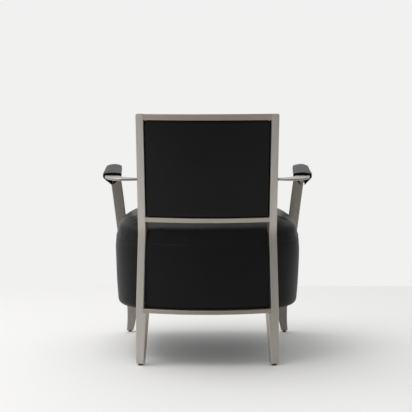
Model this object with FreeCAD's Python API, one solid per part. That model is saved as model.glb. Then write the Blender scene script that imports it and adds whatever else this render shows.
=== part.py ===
import FreeCAD, Part
import math
import os

from FreeCAD import Vector

# Low upholstered armchair: a drum seat and a framed back on a bowed metal frame, in millimetres.
# X runs across the chair, the sitter's left is +X, the front faces -Y and Z is the height above the floor.

# Heights of the rear frame
glide_height = 6.0
low_rail_bottom = 167.0
low_rail_height = 13.0
waist_height = 420.0
middle_rail_bottom = 455.5
middle_rail_height = 15.0
frame_height = 800.0
top_rail_height = 19.5

# Half widths over the rear frame's outer corners, which draw in at the waist
foot_half_width = 227.6
shoulder_half_width = 228.4
waist_half_width = 221.5
top_half_width = 224.6

# How far the rear frame leans back of its waist, at the floor and at the top
leg_rake = 45.0
back_lean = 69.0
waist_bend = 30.0
waist_steps = 3

# Rear uprights: stile above the low rail, tapered leg below it
frame_radius = 595.0
stile_width = 26.4
stile_depth = 22.0
leg_width = 36.9
leg_depth = 26.0
leg_foot_width = 26.3
leg_foot_depth = 16.0
upright_edge_radius = 2.5
frame_corner_radius = 6.0

# Rails let in between the uprights
rail_depth = 15.0
rail_setback = 1.0
rail_edge_radius = 1.5

# Front uprights: blade that carries the arm, running down past the seat as the front leg
blade_width = 37.0
blade_thickness = 7.5
blade_top_x = 324.0
front_knee_height = 150.0
front_knee_x = 272.5
front_leg_width = 36.0
front_leg_depth = 14.0
front_foot_x = 277.0
front_foot_width = 24.0
front_foot_forward = 500.0
blade_top_forward = 462.0
blade_edge_radius = 2.2

# Arm bars: flat bar that leaves the stile, sweeps outward and runs forward to a bend
arm_underside = 588.5
arm_thickness = 7.5
arm_bend_radius = 26.0
arm_corner_x = 331.0
arm_rear_width = 46.0
arm_root_setback = 11.0
arm_root_width = 9.0
arm_root_grip = 5.0
arm_hook = 13.0
arm_hook_x = 272.0
arm_hook_radius = 34.0
arm_hook_turn = 60.0

# Arm upholstery: foam pad on the bar inside a leather sleeve, whose two edges slope down to a hem below
sleeve_start = 115.0
sleeve_end_gap = 14.0
sleeve_thickness = 2.0
sleeve_overhang = 7.0
sleeve_shoulder = 0.6
sleeve_corner_radius = 8.0
sleeve_profile = ((0.0, 0.52), (0.25, 0.75), (0.6, 1.0), (0.85, 1.0), (1.0, 0.8))
pad_height = 14.0
pad_recess = 9.0
hem_drop = 23.0
hem_gap_left = 4.0
hem_gap_right = 15.0
soft_clearance = 0.2

# Glides under the four feet
glide_radius = 8.5
front_glide_radius = 6.6
glide_nail_radius = 1.5
glide_nail_length = 18.0
glide_nail_head = 1.0
glide_chamfer = 1.0

# Seat drum
seat_bottom = 174.0
seam_height = 387.0
belly_height = 352.0
crown_height = 80.0
crown_exponent = 4.3
seat_half_width = 305.0
seat_front_reach = 530.0
seat_recess = 5.0
seat_rear_corner_radius = 165.0
seat_front_corner_radius = 120.0
seat_side_radius = 1800.0
seat_front_radius = 1300.0
seat_bottom_radius = 18.0
band_taper = 9.0
seam_pinch = 2.5
crown_steps = 9
crown_last_angle = 84.0
crown_step_growth = 1.6
round_steps = 3

# Seat layers, from the leather inwards
leather = 1.6
band_foam = 12.0
skin_board = 5.0
ring_board = 18.0
ring_width = 60.0
web_thickness = 2.0
web_width = 50.0
web_count_along = 5
web_count_across = 4
web_bearing = 30.0
dust_cover = 1.0
dust_cover_gap = 0.5
cushion_tuck = 4.0
leather_turn_in = 36.0
post_width = 46.0
post_depth = 55.0

# Seat bolts, run from the corner posts into the uprights
bolt_radius = 3.0
bolt_head_radius = 5.0
bolt_head_length = 6.0
bolt_grip_in_upright = 9.0
bolt_hole_clearance = 0.4
washer_radius = 7.0
washer_thickness = 1.6
bolt_low_above_ring = 12.0
bolt_spacing = 30.0
bolt_from_edge = 6.0

# Back panel in the frame's upper opening
panel_side_gap = 1.2
panel_end_gap = 0.6
back_board = 9.0
back_board_setback = 10.0
rear_pad_bulge = 8.0
front_pad_bulge = 34.0
rear_edge_roll = 20.0
front_edge_roll = 30.0
panel_steps = 8
panel_exponent = 4.0
panel_rim = 0.12
roll_shoulder = 0.9
roll_fullness = 0.58
roll_place = 0.22
pin_radius = 3.0
pin_length = 30.0
pin_grip = 11.0
pin_end_distance = 60.0

# Clearance round a post that is let into the upholstery
let_in_clearance = 0.3


# Sizes worked out from the ones above
turn = math.asin(waist_half_width / frame_radius)
outward = Vector(math.cos(turn), -math.sin(turn), 0)
rearward = Vector(math.sin(turn), math.cos(turn), 0)
back_reach = back_lean + frame_radius - math.sqrt(frame_radius ** 2 - top_half_width ** 2)
waist_y = (seat_front_reach - back_reach) / 2.0
seat_front_y = waist_y - seat_front_reach
arm_top = arm_underside + arm_thickness
web_bottom = seam_height - leather - 2 * web_thickness - cushion_tuck
ring_top = web_bottom
cushion_bottom = web_bottom + 2 * web_thickness


def blend(low, high, share):
    return low + (high - low) * share


def frame_half_width(z):
    if z >= waist_height:
        return blend(waist_half_width, top_half_width, (z - waist_height) / (frame_height - waist_height))
    if z >= low_rail_bottom:
        share = (z - low_rail_bottom) / (waist_height - low_rail_bottom)
        return blend(shoulder_half_width, waist_half_width, share)
    return blend(foot_half_width, shoulder_half_width, z / low_rail_bottom)


def frame_y(z):
    # Two straight runs, joined by a parabola that bends over a short height round the waist
    rise = z - waist_height
    slope_below = -leg_rake / waist_height
    slope_above = back_lean / (frame_height - waist_height)
    if rise >= waist_bend:
        return waist_y + slope_above * rise
    if rise <= -waist_bend:
        return waist_y + slope_below * rise
    turned = (slope_above - slope_below) * (rise + waist_bend) ** 2 / (4 * waist_bend)
    return waist_y + slope_below * rise + turned


def frame_centre_y(z):
    # Centre of the circle that the frame's rear face follows at this height
    return frame_y(z) - math.sqrt(frame_radius ** 2 - frame_half_width(z) ** 2)


def mirrored(shape):
    return shape.mirror(Vector(0, 0, 0), Vector(1, 0, 0))


def line(start, end):
    return Part.LineSegment(start, end).toShape()


def arc(start, middle, end):
    return Part.Arc(start, middle, end).toShape()


def rounded_polygon(corners, radius):
    # Closed wire through the corners, each rounded by an arc
    starts, middles, ends = [], [], []
    for i, corner in enumerate(corners):
        to_last = (corners[i - 1] - corner).normalize()
        to_next = (corners[(i + 1) % len(corners)] - corner).normalize()
        half_angle = to_last.getAngle(to_next) / 2.0
        reach = radius / math.tan(half_angle)
        bisector = (to_last + to_next).normalize()
        starts.append(corner + to_last * reach)
        middles.append(corner + bisector * (radius / math.sin(half_angle) - radius))
        ends.append(corner + to_next * reach)
    edges = []
    for i in range(len(corners)):
        edges.append(arc(starts[i], middles[i], ends[i]))
        edges.append(line(ends[i], starts[(i + 1) % len(corners)]))
    return Part.Wire(edges)


def extruded(wire, height):
    return Part.Face(wire).extrude(Vector(0, 0, height))


def largest(shape):
    return max(shape.Solids, key=lambda solid: solid.Volume)


def cylinder(radius, length, base, direction):
    return Part.makeCylinder(radius, length, base, direction)


def cut_all(shape, tools):
    for tool in tools:
        shape = shape.cut(tool)
    return shape


# Rear uprights

def upright_section(z, width, depth, outer_loss=0.0, grow=0.0):
    corner = Vector(frame_half_width(z), frame_y(z), z) - outward * outer_loss
    corner = corner + outward * grow + rearward * grow
    along = outward * -(width - outer_loss + 2 * grow)
    through = rearward * -(depth + 2 * grow)
    corners = [corner, corner + along, corner + along + through, corner + through]
    return rounded_polygon(corners, upright_edge_radius)


def rear_upright(grow=0.0):
    stile = [upright_section(low_rail_bottom, stile_width, stile_depth, 0, grow)]
    for i in range(-waist_steps, waist_steps + 1):
        z = waist_height + waist_bend * i / waist_steps
        stile.append(upright_section(z, stile_width, stile_depth, 0, grow))
    for i in range(round_steps + 1):
        angle = math.radians(90.0 * i / round_steps)
        z = frame_height - frame_corner_radius * (1 - math.sin(angle))
        loss = frame_corner_radius * (1 - math.cos(angle))
        stile.append(upright_section(z, stile_width, stile_depth, loss, grow))
    leg = [upright_section(glide_height, leg_foot_width, leg_foot_depth, 0, grow)]
    leg.append(upright_section(low_rail_bottom, leg_width, leg_depth, 0, grow))
    return Part.makeLoft(stile, True, True).fuse(Part.makeLoft(leg, True, True)).removeSplitter()


def rear_foot_centre():
    corner = Vector(frame_half_width(glide_height), frame_y(glide_height), 0)
    return corner - outward * (leg_foot_width / 2.0) - rearward * (leg_foot_depth / 2.0)


# Rails

def ring_segment(z, height, outer_radius, depth, half_angle):
    centre = Vector(0, frame_centre_y(z), z)
    lean = frame_centre_y(z + height) - centre.y

    def at(radius, angle):
        return centre + Vector(radius * math.sin(angle), radius * math.cos(angle), 0)

    inner_radius = outer_radius - depth
    edges = [arc(at(outer_radius, -half_angle), at(outer_radius, 0), at(outer_radius, half_angle))]
    edges.append(line(at(outer_radius, half_angle), at(inner_radius, half_angle)))
    edges.append(arc(at(inner_radius, half_angle), at(inner_radius, 0), at(inner_radius, -half_angle)))
    edges.append(line(at(inner_radius, -half_angle), at(outer_radius, -half_angle)))
    return Part.Face(Part.Wire(edges)).extrude(Vector(0, lean, height))


def rail(z, height, uprights):
    middle_of_stile = frame_half_width(z + height / 2.0) - stile_width / 2.0
    half_angle = math.asin(middle_of_stile / frame_radius)
    bar = ring_segment(z, height, frame_radius - rail_setback, rail_depth, half_angle)
    long_edges = [e for e in bar.Edges if e.Length > bar.BoundBox.XLength / 2.0]
    return cut_all(bar.makeFillet(rail_edge_radius, long_edges), uprights)


# Front uprights

def blade_section(x, y, z, width, depth, grow=0.0):
    half_w = width / 2.0 + grow
    half_d = depth / 2.0 + grow
    corners = [Vector(x + half_w, y + half_d, z), Vector(x - half_w, y + half_d, z)]
    corners += [Vector(x - half_w, y - half_d, z), Vector(x + half_w, y - half_d, z)]
    return rounded_polygon(corners, blade_edge_radius)


def front_y(z):
    blade_top = arm_underside - arm_bend_radius
    share = (z - glide_height) / (blade_top - glide_height)
    return waist_y - blend(front_foot_forward, blade_top_forward, share)


def front_upright(grow=0.0):
    blade_top = arm_underside - arm_bend_radius
    rise = blade_top - front_knee_height
    sections = [blade_section(front_foot_x, front_y(glide_height), glide_height,
                              front_foot_width, front_leg_depth, grow)]
    sections.append(blade_section(front_knee_x, front_y(front_knee_height), front_knee_height,
                                  front_leg_width, front_leg_depth, grow))
    for share in (1 / 3.0, 2 / 3.0, 1.0):
        z = front_knee_height + rise * share
        x = blend(front_knee_x, blade_top_x, share)
        width = blend(front_leg_width, blade_width, share)
        depth = blend(front_leg_depth, blade_thickness, share)
        sections.append(blade_section(x, front_y(z), z, width, depth, grow))
    return Part.makeLoft(sections, True, False)


# Arm bars

def arm_front_y():
    # Where the flat of the arm ends and the bend starts
    return front_y(arm_underside - arm_bend_radius) + blade_thickness / 2.0 + arm_bend_radius


def arm_edges_x(y):
    # Inner and outer edge of the forward run at this depth
    rear_y = frame_y(arm_underside) - sleeve_start
    share = (rear_y - y) / (rear_y - arm_front_y())
    outer = blend(arm_corner_x, blade_top_x + blade_width / 2.0, share)
    width = blend(arm_rear_width, blade_width, share)
    return outer - width, outer


def arc_into(start, end, heading):
    # Arc from start to end that arrives along the heading
    chord = end - start
    normal = Vector(-heading.y, heading.x, 0)
    radius = chord.Length ** 2 / (2 * chord.dot(normal))
    centre = end - normal * radius
    return arc(start, centre + ((start - centre) + (end - centre)).normalize() * abs(radius), end)


def arm_outline(front):
    # Flat bar from inside the stile, round the rear corner and forward to the bend
    z = arm_underside
    corner = Vector(frame_half_width(z), frame_y(z), z)
    root_rear = corner - outward * arm_root_grip - rearward * arm_root_setback
    root_front = root_rear - rearward * arm_root_width
    sleeve_y = corner.y - sleeve_start
    inner_start, outer_start = (Vector(x, sleeve_y, z) for x in arm_edges_x(sleeve_y))
    inner_end, outer_end = (Vector(x, front, z) for x in arm_edges_x(front))
    forward = (outer_end - outer_start).normalize()

    def on_hook(angle):
        return Vector(arm_hook_x + arm_hook_radius * math.sin(angle),
                      corner.y + arm_hook - arm_hook_radius * (1 - math.cos(angle)), z)

    hook_turn = math.radians(arm_hook_turn)
    hook_start, hook_end = on_hook(0), on_hook(hook_turn)
    heading = Vector(math.cos(hook_turn), -math.sin(hook_turn), 0)
    reach = (outer_start - hook_end).cross(forward).z / heading.cross(forward).z
    sweep_end = hook_end + (heading + forward) * reach
    edges = [arc_into(root_rear, hook_start, Vector(1, 0, 0))]
    edges.append(arc(hook_start, on_hook(hook_turn / 2.0), hook_end))
    edges.append(arc_into(hook_end, sweep_end, forward))
    edges += [line(sweep_end, outer_end), line(outer_end, inner_end), line(inner_end, inner_start)]
    edges.append(arc_into(root_front, inner_start, (inner_end - inner_start).normalize()))
    edges.append(line(root_front, root_rear))
    return Part.Wire(Part.__sortEdges__(edges))


def arm_bar(uprights):
    front = arm_front_y()
    flat = extruded(arm_outline(front), arm_thickness)
    near_end = frame_half_width(arm_underside) + stile_width / 2.0
    long_edges = [e for e in flat.Edges if e.BoundBox.ZLength < blade_edge_radius
                  and e.CenterOfMass.y > front + blade_edge_radius and e.CenterOfMass.x > near_end]
    flat = flat.makeFillet(blade_edge_radius, long_edges)
    end_face = min(flat.Faces, key=lambda face: face.CenterOfMass.y)
    bend = end_face.revolve(Vector(0, front, arm_underside - arm_bend_radius), Vector(1, 0, 0), 90)
    return cut_all(flat, uprights).fuse(bend).removeSplitter()


# Arm upholstery

def sleeve_half(half_width, height, inset, gap):
    # One side of the sleeve from the hem's tip, round the lower corner, up to the foot of the crown
    tip = Vector(gap / 2.0, 0, arm_underside - hem_drop)
    slope = (Vector(half_width, 0, arm_underside) - tip).normalize()
    tip = tip + Vector(-slope.z, 0, slope.x) * inset
    corner = tip + slope * ((half_width - inset - tip.x) / slope.x)
    up = Vector(0, 0, 1)
    half_angle = up.getAngle(-slope) / 2.0
    radius = sleeve_corner_radius - inset
    reach = radius / math.tan(half_angle)
    middle = corner + (up - slope).normalize() * (radius / math.sin(half_angle) - radius)
    shoulder = Vector(half_width - inset, 0, arm_top + height * sleeve_shoulder)
    return [tip, corner - slope * reach, middle, corner + up * reach, shoulder]


def sleeve_path(y, height, inset, gap):
    # Edges up one side of the sleeve, over its crown and down the other side
    inner, outer = arm_edges_x(y)
    middle = Vector((inner + outer) / 2.0, y, 0)
    half = sleeve_half((outer - inner) / 2.0 + sleeve_overhang, height, inset, gap)
    near = [middle + p for p in half]
    far = [middle + Vector(-p.x, 0, p.z) for p in half]
    crown = middle + Vector(0, 0, arm_top + height + sleeve_thickness - inset)
    edges = [line(near[0], near[1]), arc(near[1], near[2], near[3]), line(near[3], near[4])]
    edges.append(arc(near[4], crown, far[4]))
    edges += [line(far[4], far[3]), arc(far[3], far[2], far[1]), line(far[1], far[0])]
    return edges, near[0], far[0]


def sleeve_sections():
    # Depth and pad height at each section, from the open rear end to the front
    start = frame_y(arm_underside) - sleeve_start
    end = arm_front_y() + sleeve_end_gap
    return [(blend(start, end, share), pad_height * height) for share, height in sleeve_profile]


def arm_sleeve(gap):
    sections = []
    for y, height in sleeve_sections():
        outer_edges, outer_near, outer_far = sleeve_path(y, height, 0.0, gap)
        inner_edges, inner_near, inner_far = sleeve_path(y, height, sleeve_thickness, gap)
        hems = [line(outer_far, inner_far), line(inner_near, outer_near)]
        sections.append(Part.Wire(outer_edges + hems[:1] + inner_edges[::-1] + hems[1:]))
    return Part.makeLoft(sections, True, False)


def arm_pad():
    sections = []
    for y, height in sleeve_sections():
        inner, outer = arm_edges_x(y)
        inset = sleeve_thickness + soft_clearance
        left = inner - sleeve_overhang + inset
        right = outer + sleeve_overhang - inset
        shoulder = arm_top + height * sleeve_shoulder
        crown = Vector((left + right) / 2.0, y, arm_top + height - soft_clearance)
        corners = [Vector(right, y, shoulder), Vector(left, y, shoulder)]
        corners += [Vector(left, y, arm_top), Vector(right, y, arm_top)]
        edges = [arc(corners[0], crown, corners[1])]
        edges += [line(corners[i], corners[(i + 1) % 4]) for i in (1, 2, 3)]
        sections.append(Part.Wire(edges))
    opening = frame_y(arm_underside) - sleeve_start - pad_recess
    end = arm_front_y() + sleeve_end_gap
    room = Part.makeBox(2 * arm_rear_width, opening - end, 3 * pad_height,
                        Vector(arm_corner_x - 1.5 * arm_rear_width, end, arm_top))
    return Part.makeLoft(sections, True, False).common(room)


# Glides and the nails that hold them

def glide_nail(foot):
    start = foot + Vector(0, 0, glide_height / 3.0)
    head = cylinder(2 * glide_nail_radius, glide_nail_head, start, Vector(0, 0, 1))
    shaft = cylinder(glide_nail_radius, glide_nail_length, start, Vector(0, 0, 1))
    return head.fuse(shaft).removeSplitter()


def glide(foot, radius):
    pad = cylinder(radius, glide_height, foot, Vector(0, 0, 1))
    rim = [e for e in pad.Edges if e.BoundBox.ZMax < glide_height / 2.0]
    pad = pad.makeChamfer(glide_chamfer, rim)
    bore = cylinder(2 * glide_nail_radius, glide_height / 3.0, foot, Vector(0, 0, 1))
    return cut_all(pad, [bore, glide_nail(foot)])


# Seat drum

def seat_middle_y():
    return (seat_front_y + frame_y(seam_height) + frame_radius
            - math.sqrt(frame_radius ** 2 - frame_half_width(seam_height) ** 2)) / 2.0


def corner_arc(circle_a, radius_a, circle_b, radius_b, radius):
    # Arc that touches both circles from inside, on the +X side away from their common middle
    reach_a = radius_a - radius
    reach_b = radius_b - radius
    apart = circle_b - circle_a
    along = (apart.Length ** 2 + reach_a ** 2 - reach_b ** 2) / (2 * apart.Length)
    aside = math.sqrt(reach_a ** 2 - along ** 2)
    unit = Vector(apart).normalize()
    normal = Vector(-unit.y, unit.x, 0)
    centres = [circle_a + unit * along + normal * aside * sign for sign in (1, -1)]
    centre = max(centres, key=lambda c: c.x)
    touch_a = circle_a + (centre - circle_a).normalize() * radius_a
    touch_b = circle_b + (centre - circle_b).normalize() * radius_b
    middle = centre + ((touch_a - centre) + (touch_b - centre)).normalize() * radius
    return touch_a, middle, touch_b


def seat_outline(z, inset, scale=1.0, level=None):
    # Plan outline at this height: bowed rear, bulging sides and front, four round corners
    half_width = seat_half_width - inset
    rear_radius = frame_radius - seat_recess - inset
    middle = seat_middle_y()
    rear_centre = Vector(0, frame_centre_y(z), 0)
    side_centre = Vector(half_width - seat_side_radius, middle, 0)
    front_centre = Vector(0, seat_front_y + inset + seat_front_radius, 0)
    rear = corner_arc(rear_centre, rear_radius, side_centre, seat_side_radius,
                      seat_rear_corner_radius - inset)
    front = corner_arc(side_centre, seat_side_radius, front_centre, seat_front_radius,
                       seat_front_corner_radius - inset)
    right = [rear_centre + Vector(0, rear_radius, 0), *rear, Vector(half_width, middle, 0)]
    right += [*front, front_centre - Vector(0, seat_front_radius, 0)]
    left = [Vector(-p.x, p.y, 0) for p in reversed(right[1:-1])]
    height = z if level is None else level
    loop = [Vector(p.x * scale, middle + (p.y - middle) * scale, height) for p in right + left]
    count = len(loop)
    edges = [arc(loop[i], loop[(i + 1) % count], loop[(i + 2) % count]) for i in range(1, count, 2)]
    return Part.Wire(edges)


def band_inset(z):
    # The side panel swells from the bottom to its belly and is pinched in at the seam
    if z <= belly_height:
        return band_taper * ((belly_height - z) / (belly_height - seat_bottom)) ** 1.5
    return seam_pinch * ((z - belly_height) / (seam_height - belly_height)) ** 2


def band_solid(inset):
    # Whole drum below the seam, with its rounded bottom edge, drawn in by the inset
    radius = seat_bottom_radius - inset
    sections = []
    for i in range(round_steps + 1):
        angle = math.radians(90.0 * i / round_steps)
        z = seat_bottom + inset + radius * (1 - math.cos(angle))
        sections.append(seat_outline(z, band_inset(z) + inset + radius * (1 - math.sin(angle))))
    for z in (blend(seat_bottom, belly_height, 0.5), belly_height, blend(belly_height, seam_height, 0.6)):
        sections.append(seat_outline(z, band_inset(z) + inset))
    sections.append(seat_outline(seam_height, band_inset(seam_height) + inset))
    return Part.makeLoft(sections, True, False)


def core_solid(inset, low, high):
    # Straight-sided drum inside the padding, between two heights; its rear leans with the frame
    sections = [seat_outline(seat_bottom, band_taper + inset), seat_outline(seam_height, seam_pinch + inset)]
    return Part.makeLoft(sections, True, True).common(slab(low, high))


def prism(inset, low, high):
    # Straight-sided drum drawn in from the seam's outline
    outline = seat_outline(seat_bottom, inset, 1.0, low)
    return extruded(outline, high - low)


def crown_solid(inset):
    # Cushion above the seam: its height follows a super-ellipse across the seat
    sections = []
    power = 2.0 / crown_exponent
    for i in range(crown_steps + 1):
        angle = math.radians(crown_last_angle * (i / crown_steps) ** crown_step_growth)
        level = seam_height + (crown_height - inset) * math.sin(angle) ** power
        scale = math.cos(angle) ** power
        sections.append(seat_outline(seam_height, seam_pinch + inset, scale, level))
    return Part.makeLoft(sections, True, True)


def slab(low, high):
    reach = 2 * seat_half_width
    return Part.makeBox(2 * reach, 2 * reach, high - low, Vector(-reach, -reach, low))


def seat_leather_top():
    return crown_solid(0.0).cut(crown_solid(leather))


def seat_leather_band():
    shell = band_solid(0.0).cut(band_solid(leather))
    return shell.cut(prism(leather_turn_in, seat_bottom - leather, seat_bottom + 2 * leather))


def padding_bottom():
    # Above the turned-in leather, where the rounded edge has come out to its full width
    return seat_bottom + 2 * leather


def seat_band_foam():
    low = padding_bottom()
    body = band_solid(leather).common(slab(low, ring_top))
    return body.cut(core_solid(leather + band_foam, low, ring_top))


def split_at_uprights(shape):
    # The frame's opening is filled by a rear panel of its own, between the two uprights
    reach = frame_half_width((seat_bottom + seam_height) / 2.0) - stile_width / 2.0
    opening = Part.makeBox(2 * reach, seat_front_reach, 2 * seam_height, Vector(-reach, 0, 0))
    return shape.cut(opening), shape.common(opening)


def seat_skin_board():
    low = padding_bottom()
    outer = core_solid(leather + band_foam, low, ring_top)
    return outer.cut(core_solid(leather + band_foam + skin_board, low, ring_top))


def seat_core_inset():
    return leather + band_foam + skin_board


def seat_ring(low):
    body = core_solid(seat_core_inset(), low, low + ring_board)
    return body.cut(prism(seat_core_inset() + ring_width, low - ring_board, low + 2 * ring_board))


def seat_cushion():
    base = extruded(seat_outline(seam_height, seam_pinch + leather, 1.0, cushion_bottom),
                    seam_height - cushion_bottom)
    return base.fuse(crown_solid(leather)).removeSplitter()


def webbing(count, along_y, low):
    reach = prism(seat_core_inset() + ring_width - web_bearing, low, low + web_thickness)
    box = reach.BoundBox
    span = box.XLength if along_y else box.YLength
    pitch = (span - web_bearing) / count
    straps = []
    for i in range(count):
        offset = (i - (count - 1) / 2.0) * pitch
        if along_y:
            strap = Part.makeBox(web_width, box.YLength, web_thickness,
                                 Vector(offset - web_width / 2.0, box.YMin, low))
        else:
            middle = (box.YMin + box.YMax) / 2.0
            strap = Part.makeBox(box.XLength, web_width, web_thickness,
                                 Vector(box.XMin, middle + offset - web_width / 2.0, low))
        straps.append(strap.common(reach))
    return straps


def seat_dust_cover():
    low = seat_bottom + leather - dust_cover
    outline = seat_outline(seat_bottom, leather_turn_in + dust_cover_gap, 1.0, low)
    return extruded(outline, dust_cover)


def bolt_heights():
    lowest = seat_bottom + leather + ring_board + bolt_low_above_ring
    return [lowest, lowest + bolt_spacing]


def seat_posts():
    # Corner posts between the two rings, behind each upright
    low = seat_bottom + leather + ring_board
    high = ring_top - ring_board
    room = core_solid(seat_core_inset(), low, high)
    rear_x = frame_half_width(bolt_heights()[0]) - stile_width / 2.0
    front_x = bolt_place(bolt_heights()[1], False)[0]
    posts = []
    for x, y in ((rear_x, rear_post_y()), (front_x, front_post_y() - 2 * post_depth)):
        block = Part.makeBox(post_width, 2 * post_depth, high - low, Vector(x - post_width / 2.0, y, low))
        block = block.common(room)
        posts += [block, mirrored(block)]
    return posts


def rear_post_y():
    return frame_y(seam_height) - post_depth - seat_core_inset()


def front_post_y():
    return front_y(bolt_heights()[0]) + post_depth + seat_core_inset()


def bolt_place(z, at_rear):
    # Where a bolt crosses the face of its upright, and which way it runs
    if at_rear:
        corner = Vector(frame_half_width(z), frame_y(z), z)
        point = corner - outward * (stile_width / 2.0) - rearward * stile_depth
        return point.x, point.y, 1
    share = (z - front_knee_height) / (arm_underside - arm_bend_radius - front_knee_height)
    centre = blend(front_knee_x, blade_top_x, share)
    width = blend(front_leg_width, blade_width, share)
    depth = blend(front_leg_depth, blade_thickness, share)
    return centre - width / 2.0 + bolt_from_edge, front_y(z) + depth / 2.0, -1


def seat_bolt(z, at_rear):
    # Returns the bolt, its washer and the stepped hole that lets both into the seat
    x, y, way = bolt_place(z, at_rear)
    seat_y = rear_post_y() if at_rear else front_post_y()
    direction = Vector(0, way, 0)
    head_face = Vector(x, seat_y - way * washer_thickness, z)
    length = abs(y - head_face.y) + bolt_grip_in_upright
    head = cylinder(bolt_head_radius, bolt_head_length, head_face - direction * bolt_head_length, direction)
    shank = cylinder(bolt_radius, length, head_face, direction)
    washer = cylinder(washer_radius, washer_thickness, head_face, direction)
    washer = washer.cut(cylinder(bolt_radius + bolt_hole_clearance, washer_thickness, head_face, direction))
    hole = cylinder(bolt_radius + bolt_hole_clearance, length, head_face, direction)
    pocket = cylinder(washer_radius + bolt_hole_clearance, bolt_head_length + washer_thickness,
                      head_face - direction * bolt_head_length, direction)
    return head.fuse(shank).removeSplitter(), washer, hole.fuse(pocket)


# Back panel

def panel_bounds():
    low = middle_rail_bottom + middle_rail_height + panel_end_gap
    high = frame_height - top_rail_height - panel_end_gap
    return low, high


def panel_half_angle(z, inset):
    edge = frame_half_width(z) - stile_width * math.cos(turn) - panel_side_gap - inset
    return math.asin(edge / frame_radius)


def panel_point(z, radius, angle):
    return Vector(radius * math.sin(angle), frame_centre_y(z) + radius * math.cos(angle), z)


def panel_board(inset):
    sections = []
    outer = frame_radius - back_board_setback
    inner = outer - back_board
    low, high = panel_bounds()
    for z in (low + inset, high - inset):
        a = panel_half_angle(z, inset)
        edges = [arc(panel_point(z, outer, -a), panel_point(z, outer, 0), panel_point(z, outer, a))]
        edges.append(line(panel_point(z, outer, a), panel_point(z, inner, a)))
        edges.append(arc(panel_point(z, inner, a), panel_point(z, inner, 0), panel_point(z, inner, -a)))
        edges.append(line(panel_point(z, inner, -a), panel_point(z, outer, -a)))
        sections.append(Part.Wire(edges))
    return Part.makeLoft(sections, True, True)


def pillow(base_radius, bulge, roll, inset):
    # Padded face on the board: thickest in the middle, rolled down to the board at its rim
    low, high = panel_bounds()
    low += inset
    high -= inset
    sections = []
    for i in range(panel_steps + 1):
        share = -math.cos(math.pi * i / panel_steps)
        z = blend(low, high, (share + 1) / 2.0)
        rise = bulge * max(panel_rim, (1 - abs(share) ** panel_exponent) ** (1 / panel_exponent))
        end = panel_half_angle(z, inset)
        start = end - roll / frame_radius
        shoulder = base_radius + rise * roll_shoulder
        rolled = base_radius + rise * roll_fullness
        edges = [arc(panel_point(z, base_radius, -end), panel_point(z, base_radius, 0),
                     panel_point(z, base_radius, end))]
        turned = blend(end, start, roll_place)
        edges.append(arc(panel_point(z, base_radius, end), panel_point(z, rolled, turned),
                         panel_point(z, shoulder, start)))
        edges.append(arc(panel_point(z, shoulder, start), panel_point(z, base_radius + rise, 0),
                         panel_point(z, shoulder, -start)))
        edges.append(arc(panel_point(z, shoulder, -start), panel_point(z, rolled, -turned),
                         panel_point(z, base_radius, -end)))
        sections.append(Part.Wire(edges))
    return Part.makeLoft(sections, True, False)


def back_pads():
    # Foam and leather on both faces of the board
    rear = frame_radius - back_board_setback
    front = rear - back_board
    rear_foam = pillow(rear, rear_pad_bulge, rear_edge_roll, leather)
    front_foam = pillow(front, -front_pad_bulge, front_edge_roll, leather)
    rear_leather = pillow(rear, rear_pad_bulge + leather, rear_edge_roll, 0.0).cut(rear_foam)
    front_leather = pillow(front, -front_pad_bulge - leather, front_edge_roll, 0.0).cut(front_foam)
    return rear_foam, rear_leather, front_foam, front_leather


def back_pins():
    low, high = panel_bounds()
    pins = []
    for z in (low + pin_end_distance, high - pin_end_distance):
        radius = frame_radius - back_board_setback - back_board / 2.0
        edge = panel_point(z, radius, panel_half_angle(z, 0.0))
        pin = cylinder(pin_radius, pin_length, edge - outward * (pin_length - pin_grip), outward)
        pins += [pin, mirrored(pin)]
    return pins


def both(name, shape, store):
    store[name + "_left"] = shape
    store[name + "_right"] = mirrored(shape)


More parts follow.
